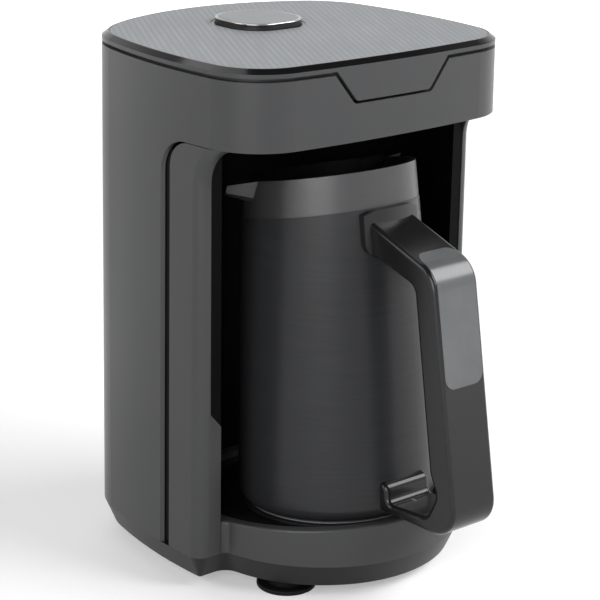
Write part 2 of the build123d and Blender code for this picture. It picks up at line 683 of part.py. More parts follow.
with BuildPart() as thermostat:
    with BuildSketch(plate_bottom):
        Circle(THERMOSTAT_RADIUS)
    extrude(amount=-THERMOSTAT_HEIGHT * 0.6)
    with BuildSketch(plate_bottom):
        Circle(THERMOSTAT_RADIUS - 1.5)
    extrude(amount=-THERMOSTAT_HEIGHT)
    with BuildSketch(plate_bottom):
        with Locations((-5, 0), (5, 0)):
            Rectangle(1, 4)
    extrude(amount=-THERMOSTAT_HEIGHT - 1.6)

save(thermostat.part, "thermostat")

with BuildPart() as thermal_fuse:
    with Locations(Location(plate_bottom)):
        with Locations(Location((0, -17, -1.8), (0, 90, 0))):
            Cylinder(1.8, 11)
            Cylinder(0.6, 19)

save(thermal_fuse.part, "thermal_fuse")

with BuildPart() as temperature_sensor:
    with BuildSketch(plate_bottom):
        with Locations((-17, 4)):
            Circle(4)
    extrude(amount=-3)
    with BuildSketch(plate_bottom):
        with Locations((-17, 4)):
            Circle(2.4)
    extrude(amount=-5)

save(temperature_sensor.part, "temperature_sensor")

# ---------------------------------------------------------------- liner of the pot bay

liner_outer = BAY_HALF_WIDTH + LINER_WALL
liner_front_y = lip_rear_y + SLIP_GAP
flange_front_y = COLUMN_FRONT_Y + SEAM_GAP
wing_y = COLUMN_REAR_Y + SLIP_GAP
wing_reach = OPENING_REVEAL + REBATE_REACH - 2 * SLIP_GAP
step_slope = step_drop / COLUMN_STEP_WIDTH

with BuildPart() as cavity_liner:
    add(upright(bay_outline(liner_outer, liner_front_y), BASE_SEAM_Z, HEAD_BOTTOM_Z))
    # wings behind the columns, turned back along the shell to close the groove
    for side in (-1, 1):
        with BuildPart(mode=Mode.PRIVATE) as wing:
            with Locations((0, wing_y, BASE_SEAM_Z + SEAM_GAP)):
                Box(far, wing_reach, HEAD_BOTTOM_Z - BASE_SEAM_Z - SEAM_GAP,
                    align=(Align.MIN if side > 0 else Align.MAX, Align.MIN, Align.MIN))
            add(body_solid(OPENING_EDGE_WALL + SLIP_GAP, BASE_SEAM_Z, HEAD_BOTTOM_Z), mode=Mode.INTERSECT)
            with BuildPart(mode=Mode.PRIVATE) as core:
                add(body_solid(OPENING_EDGE_WALL + SLIP_GAP + LINER_WALL, BASE_SEAM_Z, HEAD_BOTTOM_Z))
                with Locations((0, wing_y + LINER_WALL, BASE_SEAM_Z)):
                    Box(2 * far, far, far * 2, align=(Align.CENTER, Align.MIN, Align.MIN),
                        mode=Mode.INTERSECT)
            add(core.part, mode=Mode.SUBTRACT)
        add(wing.part)
    # above the step the liner turns outwards and shows beside the columns' lips
    for side in (-1, 1):
        inner = side * BAY_HALF_WIDTH
        outer = side * (BAY_HALF_WIDTH + COLUMN_STEP_WIDTH - SLIP_GAP)
        low = COLUMN_STEP_LOW_Z + SEAM_GAP
        with BuildSketch(Plane.XZ.offset(-lip_rear_y)):
            with BuildLine():
                Polyline((inner, low), (outer, low + step_drop), (outer, HEAD_BOTTOM_Z),
                         (inner, HEAD_BOTTOM_Z), close=True)
            make_face()
        extrude(amount=lip_rear_y - flange_front_y)
        # bridge from that flange back to the liner's side wall
        with Locations((inner, flange_front_y, COLUMN_STEP_HIGH_Z + LINER_WALL)):
            Box(LINER_WALL, liner_front_y - flange_front_y + LINER_WALL,
                HEAD_BOTTOM_Z - COLUMN_STEP_HIGH_Z - LINER_WALL,
                align=(Align.MIN if side > 0 else Align.MAX, Align.MIN, Align.MIN))
    # pad for the froth sensor on the rear, with its window
    with Locations((0, 0, SENSOR_Z)):
        Box(PAD_WIDTH, liner_outer + PAD_DEPTH, PAD_HEIGHT,
            align=(Align.CENTER, Align.MIN, Align.CENTER))
    add(upright(bay_outline(BAY_HALF_WIDTH, liner_front_y - 1), BASE_SEAM_Z, HEAD_BOTTOM_Z),
        mode=Mode.SUBTRACT)
    with BuildSketch(Plane.XZ):
        with Locations((0, SENSOR_Z)):
            Circle(WINDOW_RADIUS)
    extrude(amount=-far, mode=Mode.SUBTRACT)

save(cavity_liner.part, "cavity_liner")

pad_rear_y = liner_outer + PAD_DEPTH

with BuildPart() as sensor_window:
    with BuildSketch(Plane.XZ.offset(-pad_rear_y)):
        with Locations((0, SENSOR_Z)):
            Circle(WINDOW_RADIUS - SLIP_GAP / 2)
    extrude(amount=PAD_DEPTH)
    fillet(sensor_window.faces().sort_by(Axis.Y)[0].edges(), radius=0.8)

save(sensor_window.part, "sensor_window")

with BuildPart() as froth_sensor:
    with Locations((0, pad_rear_y, SENSOR_Z)):
        Box(PAD_WIDTH - 4, 7, PAD_HEIGHT - 4, align=(Align.CENTER, Align.MIN, Align.CENTER))
    fillet(froth_sensor.edges().filter_by(Axis.Y), radius=1.5)
    with Locations((0, pad_rear_y + 7, SENSOR_Z)):
        Box(PAD_WIDTH - 8, BOARD_THICKNESS, PAD_HEIGHT - 6,
            align=(Align.CENTER, Align.MIN, Align.CENTER))

save(froth_sensor.part, "froth_sensor")

# ---------------------------------------------------------------- inside of the head

post_places_head = [(sx * (BOARD_WIDTH / 2 - BOARD_POST_MARGIN),
                     BOARD_Y + sy * (BOARD_DEPTH / 2 - BOARD_POST_MARGIN))
                    for sx in (-1, 1) for sy in (-1, 1)]
head_plate_top = HEAD_BOTTOM_Z + HEAD_PLATE
board_bottom_z = head_plate_top + BOARD_POST_HEIGHT
board_top_z = board_bottom_z + BOARD_THICKNESS
screw_radius = BOARD_SCREW_RADIUS

with BuildPart() as head_underside:
    add(body_solid(SHELL_WALL + SEAM_GAP, HEAD_BOTTOM_Z, head_plate_top))
    with Locations((0, liner_outer + 2, HEAD_BOTTOM_Z)):
        Box(2 * far, far, HEAD_PLATE, align=(Align.CENTER, Align.MIN, Align.MIN), mode=Mode.SUBTRACT)
    with BuildSketch(Plane.XY.offset(head_plate_top)):
        with Locations(*post_places_head):
            Circle(BOARD_POST_RADIUS)
    extrude(amount=BOARD_POST_HEIGHT)
    with BuildSketch(Plane.XY.offset(board_bottom_z)):
        with Locations(*post_places_head):
            Circle(screw_radius + SLIP_GAP / 2)
    extrude(amount=-BOARD_SCREW_BITE - 1, mode=Mode.SUBTRACT)

save(head_underside.part, "head_underside")

with BuildPart() as control_board:
    with BuildSketch(Plane.XY.offset(board_bottom_z)):
        with Locations((0, BOARD_Y)):
            RectangleRounded(BOARD_WIDTH, BOARD_DEPTH, 2)
        with Locations(*post_places_head):
            Circle(screw_radius + SLIP_GAP / 2, mode=Mode.SUBTRACT)
    extrude(amount=BOARD_THICKNESS)

save(control_board.part, "control_board")

with BuildPart() as board_screws:
    with BuildSketch(Plane.XY.offset(board_top_z)):
        with Locations(*post_places_head):
            Circle(BOARD_SCREW_HEAD_RADIUS)
    extrude(amount=BOARD_SCREW_HEAD)
    fillet(board_screws.faces().filter_by(Axis.Z).group_by(Axis.Z)[-1].edges(),
           radius=BOARD_SCREW_HEAD_ROUNDING)
    with BuildSketch(Plane.XY.offset(board_top_z)):
        with Locations(*post_places_head):
            Circle(screw_radius)
    extrude(amount=-BOARD_THICKNESS - BOARD_SCREW_BITE)

save(board_screws.part, "board_screws")

with BuildPart() as board_components:
    on_board = (Align.CENTER, Align.CENTER, Align.MIN)
    with Locations((-0.3 * BOARD_WIDTH, BOARD_Y + 0.22 * BOARD_DEPTH, board_top_z)):
        Box(*CHIP_SIZE, align=on_board)
    with Locations((-0.28 * BOARD_WIDTH, BOARD_Y - 0.22 * BOARD_DEPTH, board_top_z),
                   (-0.16 * BOARD_WIDTH, BOARD_Y - 0.25 * BOARD_DEPTH, board_top_z)):
        Cylinder(*CAPACITOR_SIZE, align=on_board)
    with Locations((0.25 * BOARD_WIDTH, BOARD_Y - 0.25 * BOARD_DEPTH, board_top_z)):
        Cylinder(*BUZZER_SIZE, align=on_board)
    with Locations((0.3 * BOARD_WIDTH, BOARD_Y + 0.08 * BOARD_DEPTH, board_top_z)):
        Box(*CONNECTOR_SIZE, align=on_board)

save(board_components.part, "board_components")

stem_end_z = LID_TOP_Z + BUTTON_PROUD - BUTTON_REACH
switch_top_z = stem_end_z - BUTTON_TRAVEL - SLIP_GAP

with BuildPart() as tact_switch:
    with Locations((0, BUTTON_Y, board_top_z)):
        Box(7, 7, 3, align=(Align.CENTER, Align.CENTER, Align.MIN))
        Cylinder(1.9, switch_top_z - board_top_z, align=(Align.CENTER, Align.CENTER, Align.MIN))

save(tact_switch.part, "tact_switch")

# ---------------------------------------------------------------- lid

lid_band_z = LID_SEAM_Z + LID_GROOVE
deck_top_z = lid_band_z + LID_BAND_HEIGHT
guide_outer = BUTTON_SIZE + 2 * (BUTTON_GAP + GUIDE_WALL)


def lid_solid(inset, bottom, top):
    """Straight-sided solid of the lid's outline between two heights."""
    return upright(body_outline(inset), bottom, top)


with BuildPart() as lid_frame:
    add(lid_solid(0, lid_band_z, deck_top_z))
    # skirt inside the shell, down to its ledge
    add(lid_solid(SHELL_WALL + SLIP_GAP, ledge_top_z, lid_band_z))
    add(lid_solid(SHELL_WALL + SLIP_GAP + LID_SKIRT_WALL, ledge_top_z, lid_band_z),
        mode=Mode.SUBTRACT)
    # grip tab, flush with the shell's front
    with BuildPart(mode=Mode.PRIVATE) as tab:
        add(body_solid(0, TAB_BOTTOM_Z - 1, LID_SEAM_Z))
        add(lid_solid(0, LID_SEAM_Z, lid_band_z))
        add(lid_solid(TAB_THICKNESS, TAB_BOTTOM_Z - 1, lid_band_z), mode=Mode.SUBTRACT)
        extrude(tab_outline(0, lid_band_z), amount=far, mode=Mode.INTERSECT)
    add(tab.part)
    # opening for the button's guide
    add(upright(squircle(guide_outer + SLIP_GAP), ledge_top_z, LID_TOP_Z), mode=Mode.SUBTRACT)

save(lid_frame.part, "lid_frame")

with BuildPart() as lid_trim:
    with BuildSketch(Plane.XY.offset(deck_top_z)):
        add(body_outline(0))
    extrude(amount=LID_CHAMFER_HEIGHT,
            taper=degrees(atan2(LID_CHAMFER_INSET, LID_CHAMFER_HEIGHT)))
    add(lid_solid(LID_CHAMFER_INSET + LID_TRIM_LAND, deck_top_z, LID_TOP_Z), mode=Mode.SUBTRACT)

save(lid_trim.part, "lid_trim")

with BuildPart() as lid_plate:
    add(lid_solid(LID_CHAMFER_INSET + LID_TRIM_LAND + SLIP_GAP, deck_top_z, LID_TOP_Z))
    add(upright(squircle(guide_outer + SLIP_GAP), deck_top_z, LID_TOP_Z), mode=Mode.SUBTRACT)

save(lid_plate.part, "lid_plate")

# ---------------------------------------------------------------- power button

cap_top_z = LID_TOP_Z + BUTTON_PROUD
ring_low_z = cap_top_z - 0.2 - BUTTON_RING_HEIGHT
cap_under_z = cap_top_z - BUTTON_CAP_THICKNESS
cap_low_z = GUIDE_BOTTOM_Z + GUIDE_FLOOR + BUTTON_TRAVEL + 2 * BUTTON_GAP + SPRING_COIL_RADIUS
face_size = BUTTON_SIZE - 2 * BUTTON_RING_WIDTH

with BuildPart() as power_button:
    add(upright(squircle(BUTTON_SIZE), cap_low_z, ring_low_z))
    add(upright(squircle(face_size), ring_low_z, cap_top_z))
    fillet(power_button.faces().sort_by(Axis.Z)[-1].edges(), radius=0.5)
    add(upright(squircle(BUTTON_SIZE - 2 * BUTTON_WALL - 1), cap_low_z, cap_under_z),
        mode=Mode.SUBTRACT)
    add(upright(disc(BUTTON_STEM_RADIUS, 0, BUTTON_Y), stem_end_z, cap_under_z))

save(power_button.part, "power_button")

with BuildPart() as button_ring:
    add(upright(squircle(BUTTON_SIZE), ring_low_z, cap_top_z - 0.2))
    fillet(button_ring.faces().sort_by(Axis.Z)[-1].edges(), radius=0.5)
    add(upright(squircle(face_size), ring_low_z, cap_top_z), mode=Mode.SUBTRACT)

save(button_ring.part, "button_ring")

with BuildPart() as button_guide:
    add(upright(squircle(guide_outer), GUIDE_BOTTOM_Z, LID_TOP_Z - SLIP_GAP))
    add(upright(squircle(guide_outer + 2 * GUIDE_FLANGE), lid_band_z - GUIDE_FLOOR, lid_band_z))
    add(upright(squircle(BUTTON_SIZE + 2 * BUTTON_GAP), GUIDE_BOTTOM_Z + GUIDE_FLOOR, LID_TOP_Z),
        mode=Mode.SUBTRACT)
    add(upright(disc(BUTTON_STEM_RADIUS + SLIP_GAP / 2, 0, BUTTON_Y), GUIDE_BOTTOM_Z, LID_TOP_Z),
        mode=Mode.SUBTRACT)

save(button_guide.part, "button_guide")

spring_low_z = GUIDE_BOTTOM_Z + GUIDE_FLOOR + SPRING_WIRE_RADIUS
spring_height = cap_under_z - SPRING_WIRE_RADIUS - spring_low_z

with BuildPart() as button_spring:
    with BuildLine() as coil:
        Helix(pitch=spring_height / SPRING_TURNS, height=spring_height, radius=SPRING_COIL_RADIUS,
              center=(0, BUTTON_Y, spring_low_z))
    with BuildSketch(Plane(origin=coil.line @ 0, z_dir=coil.line % 0)):
        RegularPolygon(SPRING_WIRE_RADIUS, 8)
    sweep()

save(button_spring.part, "button_spring")

# ---------------------------------------------------------------- pot

edge_centre_r = POT_BASE_RADIUS - POT_BASE_EDGE_RADIUS
pot_mid_radius = (POT_BASE_RADIUS + POT_RIM_RADIUS) / 2 + POT_WAIST_BULGE
pot_axis = Axis(pot_base.origin, pot_base.z_dir)
pot_section = Plane(origin=pot_base.origin, x_dir=(1, 0, 0),
                    z_dir=(0, -cos(tilt), sin(tilt)))
above_rim = POT_HEIGHT + 9.0


def pot_form(inset):
    """Round body of the pot, drawn in by inset, taller than its slanted rim."""
    r = POT_BASE_EDGE_RADIUS - inset
    with BuildPart() as form:
        with BuildSketch(pot_section):
            with BuildLine():
                Line((0, inset), (edge_centre_r, inset))
                RadiusArc((edge_centre_r, inset), (edge_centre_r + r, POT_BASE_EDGE_RADIUS), -r)
                ThreePointArc((edge_centre_r + r, POT_BASE_EDGE_RADIUS),
                              (pot_mid_radius - inset, POT_HEIGHT / 2),
                              (POT_RIM_RADIUS - inset, POT_HEIGHT))
                Polyline((POT_RIM_RADIUS - inset, POT_HEIGHT), (POT_RIM_RADIUS - inset - 0.7, above_rim),
                         (0, above_rim), (0, inset))
            make_face()
        revolve(axis=pot_axis)
    return form.part


def spout(side, inset, root_r):
    """Pouring channel on one side: a trough that narrows and rises to its open mouth."""
    turn = radians(SPOUT_SWEEP)
    outward = rim_plane.x_dir * side * cos(turn) + rim_plane.y_dir * sin(turn)
    across = outward.cross(rim_plane.z_dir)
    with BuildPart() as channel:
        for r, width, depth in ((root_r, SPOUT_ROOT_WIDTH, SPOUT_ROOT_DEPTH),
                                (POT_RIM_RADIUS + SPOUT_REACH, SPOUT_TIP_WIDTH, SPOUT_TIP_DEPTH)):
            half = width / 2 - inset
            foot = depth - inset * 1.3
            with BuildSketch(Plane(origin=rim_plane.origin + outward * r, x_dir=across, z_dir=outward)):
                with BuildLine():
                    Polyline((-half, -POT_BAND_HEIGHT / 2), (-half, 0), (-half * 0.5, foot * 0.8),
                             (0, foot), (half * 0.5, foot * 0.8), (half, 0),
                             (half, -POT_BAND_HEIGHT / 2), close=True)
                make_face()
        loft(ruled=True)
    return channel.part


with BuildPart() as pot_sleeve:
    add(pot_form(0))
    add(pot_form(POT_SLEEVE_WALL), mode=Mode.SUBTRACT)
    split(bisect_by=band_plane, keep=Keep.BOTTOM)
    with BuildSketch(pot_base):
        Circle(POT_BASE_DISC_RADIUS)
    extrude(amount=2 * POT_SLEEVE_WALL, mode=Mode.SUBTRACT)

save(pot_sleeve.part, "pot_sleeve")

with BuildPart() as pot_base_disc:
    with BuildSketch(pot_base):
        Circle(POT_BASE_DISC_RADIUS - SLIP_GAP / 2)
    extrude(amount=POT_SLEEVE_WALL)

save(pot_base_disc.part, "pot_base_disc")

with BuildPart() as pot_liner:
    add(pot_form(POT_STEP))
    for side in (-1, 1):
        add(spout(side, 0, POT_RIM_RADIUS - 3))
    split(bisect_by=band_plane, keep=Keep.TOP)
    add(pot_form(POT_SLEEVE_WALL))
    split(bisect_by=rim_plane, keep=Keep.BOTTOM)
    add(pot_form(POT_SLEEVE_WALL + POT_STEEL_WALL), mode=Mode.SUBTRACT)
    for side in (-1, 1):
        add(spout(side, SPOUT_WALL, POT_RIM_RADIUS - 5), mode=Mode.SUBTRACT)

save(pot_liner.part, "pot_liner")

# ---------------------------------------------------------------- handle

# side view (y, z): grip in front of the pot with an arm at each end
HANDLE_CORNERS = [
    ((-84.8, POT_HEIGHT + 3.1), 14.0), ((-105.29, 39.0), 13.0), ((-50.0, 38.3), None),
    ((-50.0, 51.6), None), ((-60.2, 51.6), 3.5), ((-61.6, 42.8), 3.0), ((-86.0, 45.0), 6.5),
    ((-91.8, 57.0), 6.0), ((-86.9, 66.0), 8.0), ((-73.4, POT_HEIGHT - 5.4), 6.0),
    ((-36.0, POT_HEIGHT + 5.2), None), ((-36.0, POT_HEIGHT + 19.6), None),
]


def handle_view(grow):
    """Side view of the handle, its outline grown evenly."""
    with BuildSketch() as view:
        with BuildLine():
            Polyline(*[corner for corner, radius in HANDLE_CORNERS], close=True)
        make_face()
        for corner, radius in HANDLE_CORNERS:
            if radius:
                fillet(view.vertices().sort_by_distance(corner)[0], radius=radius)
        if grow:
            offset(amount=grow)
    return view.sketch


def handle_slab(grow, half_width):
    """Handle's side view extruded evenly to both sides."""
    with BuildPart() as slab:
        with BuildSketch(Plane.YZ):
            add(handle_view(grow))
        extrude(amount=half_width, both=True)
    return slab.part


def inset_form(gap):
    """Strip let into the outer face of the handle, with a gap left around it."""
    mid_grip = [(INSET_FRONT_Y, 2 * POT_HEIGHT), (INSET_FRONT_Y, POT_HEIGHT),
                (INSET_FRONT_Y - 9, POT_HEIGHT - 5), (INSET_FRONT_Y - 24, POT_BASE_RADIUS),
                (-POT_HEIGHT, POT_BASE_RADIUS), (-POT_HEIGHT, 2 * POT_HEIGHT)]
    with BuildPart() as strip:
        add(handle_slab(INSET_PROUD, INSET_HALF_WIDTH + gap))
        add(handle_slab(-INSET_THICKNESS - gap, far), mode=Mode.SUBTRACT)
        with BuildSketch(Plane.YZ):
            with BuildLine():
                Polyline(*mid_grip, close=True)
            make_face()
        extrude(amount=far, both=True, mode=Mode.INTERSECT)
        with BuildSketch(Plane.XZ):
            with Locations((0, INSET_LOW_Z - gap)):
                RectangleRounded(2 * (INSET_HALF_WIDTH + gap), far, INSET_CORNER_RADIUS,
                                 align=(Align.CENTER, Align.MIN))
        extrude(amount=far, mode=Mode.INTERSECT)
        with BuildSketch(Plane.XY):
            with Locations((0, INSET_FRONT_Y + gap)):
                RectangleRounded(2 * (INSET_HALF_WIDTH + gap), far, INSET_CORNER_RADIUS,
                                 align=(Align.CENTER, Align.MAX))
        extrude(amount=2 * far, mode=Mode.INTERSECT)
    return strip.part


with BuildPart() as handle_collar:
    add(pot_form(-COLLAR_THICKNESS))
    add(pot_form(0), mode=Mode.SUBTRACT)
    split(bisect_by=band_plane.offset(-0.8), keep=Keep.BOTTOM)
    with BuildSketch(Plane.XZ) as front_view:
        with BuildLine():
            arch_z = COLLAR_HIGH_Z - COLLAR_CORNER_RADIUS / 2
            Polyline((-COLLAR_HALF_WIDTH, arch_z), (-COLLAR_HALF_WIDTH, COLLAR_LOW_Z),
                     (COLLAR_HALF_WIDTH, COLLAR_LOW_Z), (COLLAR_HALF_WIDTH, arch_z))
            ThreePointArc((COLLAR_HALF_WIDTH, arch_z), (0, COLLAR_HIGH_Z), (-COLLAR_HALF_WIDTH, arch_z))
        make_face()
        fillet(front_view.vertices().group_by(Axis.Y)[0], radius=COLLAR_CORNER_RADIUS)
    extrude(amount=far, mode=Mode.INTERSECT)
    with BuildSketch(stud_upper):
        Circle(STUD_RADIUS + SLIP_GAP / 2)
    extrude(amount=STUD_LENGTH, both=True, mode=Mode.SUBTRACT)

save(handle_collar.part, "handle_collar")

with BuildPart() as handle_inset:
    add(inset_form(0))

save(handle_inset.part, "handle_inset")

with BuildPart() as handle_body:
    add(handle_slab(0, HANDLE_HALF_WIDTH))
    long_edges = handle_body.faces().filter_by(Axis.X).edges().filter_by(
        lambda e: e.center().Y < -51)
    fillet(long_edges, radius=HANDLE_EDGE_RADIUS)
    add(pot_form(0), mode=Mode.SUBTRACT)
    add(handle_collar.part, mode=Mode.SUBTRACT)
    add(inset_form(SLIP_GAP / 2), mode=Mode.SUBTRACT)
    for stud in (stud_upper, stud_lower):
        with BuildSketch(stud):
            Circle(STUD_RADIUS + SLIP_GAP / 2)
        extrude(amount=STUD_LENGTH + SLIP_GAP, both=True, mode=Mode.SUBTRACT)

save(handle_body.part, "handle_body")

with BuildPart() as handle_studs:
    for stud in (stud_upper, stud_lower):
        with BuildSketch(stud):
            Circle(STUD_RADIUS)
        extrude(amount=STUD_LENGTH, both=True)
    add(pot_form(0), mode=Mode.SUBTRACT)

save(handle_studs.part, "handle_studs")

# ---------------------------------------------------------------- feet and screws

with BuildPart() as rubber_feet:
    with BuildSketch(Plane.XY):
        with Locations(*foot_places):
            Circle(FOOT_RADIUS)
    extrude(amount=FOOT_FLANGE)
    fillet(rubber_feet.edges(), radius=0.6)
    with BuildSketch(Plane.XY.offset(FOOT_FLANGE)):
        with Locations(*foot_places):
            Circle(FOOT_NECK_RADIUS)
    extrude(amount=FOOT_HEIGHT - FOOT_FLANGE)
    with BuildSketch(Plane.XY.offset(FOOT_HEIGHT)):
        with Locations(*foot_places):
            Circle(FOOT_PEG_RADIUS)
    extrude(amount=TRAY_FLOOR + 1)

save(rubber_feet.part, "rubber_feet")

with BuildPart() as base_screws:
    with BuildSketch(Plane.XY.offset(screw_seat_z)):
        with Locations(*screw_places):
            Circle(BASE_SCREW_HEAD_RADIUS)
    extrude(amount=-BASE_SCREW_HEAD)
    with BuildSketch(Plane.XY.offset(screw_seat_z)):
        with Locations(*screw_places):
            Circle(BASE_SCREW_RADIUS)
    extrude(amount=BASE_SCREW_TOP_Z - screw_seat_z)

save(base_screws.part, "base_screws")

# ---------------------------------------------------------------- power board and cord gland

board_rear_y = POWER_BOARD_Y + BOARD_THICKNESS / 2

with BuildPart() as power_board:
    with Locations((0, POWER_BOARD_Y, tray_floor_z)):
        Box(POWER_BOARD_WIDTH, BOARD_THICKNESS, POWER_BOARD_HEIGHT,
            align=(Align.CENTER, Align.CENTER, Align.MIN))

save(power_board.part, "power_board")

with BuildPart() as power_board_parts:
    on_rear = (Align.CENTER, Align.MIN, Align.CENTER)
    with Locations((-0.27 * POWER_BOARD_WIDTH, board_rear_y, tray_floor_z + 0.74 * POWER_BOARD_HEIGHT)):
        Box(*RELAY_SIZE, align=on_rear)
    with Locations((0.23 * POWER_BOARD_WIDTH, board_rear_y, tray_floor_z + 0.71 * POWER_BOARD_HEIGHT)):
        Box(*TRANSFORMER_SIZE, align=on_rear)
    with Locations((0, board_rear_y, CORD_GLAND_Z)):
        Box(*TERMINAL_SIZE, align=on_rear)
    with Locations(Location((POWER_BOARD_WIDTH / 3, board_rear_y, CORD_GLAND_Z + 2 * FILTER_SIZE[0]),
                            (-90, 0, 0))):
        Cylinder(*FILTER_SIZE, align=(Align.CENTER, Align.CENTER, Align.MIN))

save(power_board_parts.part, "power_board_parts")

gland_radius = CORD_BORE_RADIUS + SHELL_WALL - SLIP_GAP / 2
wall_rear_y = REAR_REACH + body_growth(CORD_GLAND_Z)

with BuildPart() as cord_gland:
    with BuildSketch(Plane.XZ.offset(-wall_rear_y + SEAM_GAP)):
        with Locations((0, CORD_GLAND_Z)):
            Circle(gland_radius)
    extrude(amount=SHELL_WALL + 2)
    with BuildSketch(Plane.XZ.offset(-wall_rear_y + SHELL_WALL + 2 * SEAM_GAP)):
        with Locations((0, CORD_GLAND_Z)):
            Circle(gland_radius + 2.5)
    extrude(amount=2)
    with BuildSketch(Plane.XZ.offset(-wall_rear_y - 1)):
        with Locations((0, CORD_GLAND_Z)):
            Circle(CORD_BORE_RADIUS)
    extrude(amount=4 * SHELL_WALL, mode=Mode.SUBTRACT)

save(cord_gland.part, "cord_gland")
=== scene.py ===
import bmesh
import bpy
import math
from mathutils import Matrix, Vector


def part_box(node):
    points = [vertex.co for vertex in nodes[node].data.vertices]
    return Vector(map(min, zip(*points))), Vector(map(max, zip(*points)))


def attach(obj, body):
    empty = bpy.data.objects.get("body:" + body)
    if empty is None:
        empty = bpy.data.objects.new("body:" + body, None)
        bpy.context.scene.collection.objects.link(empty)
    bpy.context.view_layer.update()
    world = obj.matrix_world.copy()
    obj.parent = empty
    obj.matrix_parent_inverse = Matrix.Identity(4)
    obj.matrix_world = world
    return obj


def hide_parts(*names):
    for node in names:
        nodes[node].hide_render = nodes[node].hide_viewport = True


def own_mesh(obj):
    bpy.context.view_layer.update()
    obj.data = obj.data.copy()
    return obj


# Looks of the one-pot coffee maker. Metres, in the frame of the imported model: the user
# stands on the -Y side and Z is up.

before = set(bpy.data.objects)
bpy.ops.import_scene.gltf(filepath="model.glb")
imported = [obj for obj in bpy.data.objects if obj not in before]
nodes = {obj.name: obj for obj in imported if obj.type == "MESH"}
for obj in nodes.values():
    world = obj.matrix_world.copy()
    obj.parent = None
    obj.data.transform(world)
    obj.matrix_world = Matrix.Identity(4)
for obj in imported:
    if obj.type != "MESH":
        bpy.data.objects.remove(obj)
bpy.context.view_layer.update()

# ---------------------------------------------------------------- sizes and places

MILLIMETRE = 0.001
CAMERA_PLACE = Vector((-0.5884, -0.6763, 0.4088))
CAMERA_TARGET = Vector((0.0, 0.0161, 0.116))
CAMERA_ROLL = math.radians(0.979)
CAMERA_LENS = 123.2
SENSOR_WIDTH = 36.0
FLOOR_SIZE = 6.0
SPRING_WIRE_RADIUS = 0.4 * MILLIMETRE
SPRING_TURNS = 3.5
SPRING_STEPS = 36
SPRING_SIDES = 14
STRIPE_PITCH = 2.8 * MILLIMETRE
STRIPE_TURN = math.radians(29)

# Stripes and grain
STRIPE_WAVE_SCALE = 1 / math.pi
GLOSS_BELOW = 0.03
GLOSS_ABOVE = 0.04

# Colours, linear
SHELL_GREY = (0.037, 0.0375, 0.039)
TRAY_GREY = (0.008, 0.008, 0.009)
TRIM_GREY = (0.004, 0.004, 0.0044)
GLOSS_BLACK = (0.0090, 0.0090, 0.0095)
CAVITY_BLACK = (0.0020, 0.0020, 0.0022)
LID_SILVER = (0.235, 0.248, 0.258)
SLEEVE_GREY = (0.022, 0.0225, 0.024)
BAND_STEEL = (0.056, 0.056, 0.058)
STEEL = (0.42, 0.42, 0.41)
ZINC = (0.50, 0.50, 0.49)
INSET_GREY = (0.085, 0.089, 0.093)
PLATE_GREY = (0.14, 0.14, 0.145)
RUBBER_BLACK = (0.0045, 0.0045, 0.0050)
BOARD_GREEN = (0.012, 0.085, 0.035)
FLOOR_WHITE = (0.72, 0.72, 0.72)

# Light. The floor gives off light to the camera and to reflections only, more of it far away,
# so that it meets the white backdrop without a horizon.
WORLD_LIGHT = 0.30
FLOOR_LIFT = 0.30
FAR_FLOOR_LIFT = 1.0
FAR_FLOOR_START = 0.9
FAR_FLOOR_END = 1.7
CEILING_SHADE = 0.05
CEILING_START = 0.38
CEILING_END = 0.72


# ---------------------------------------------------------------- material helpers


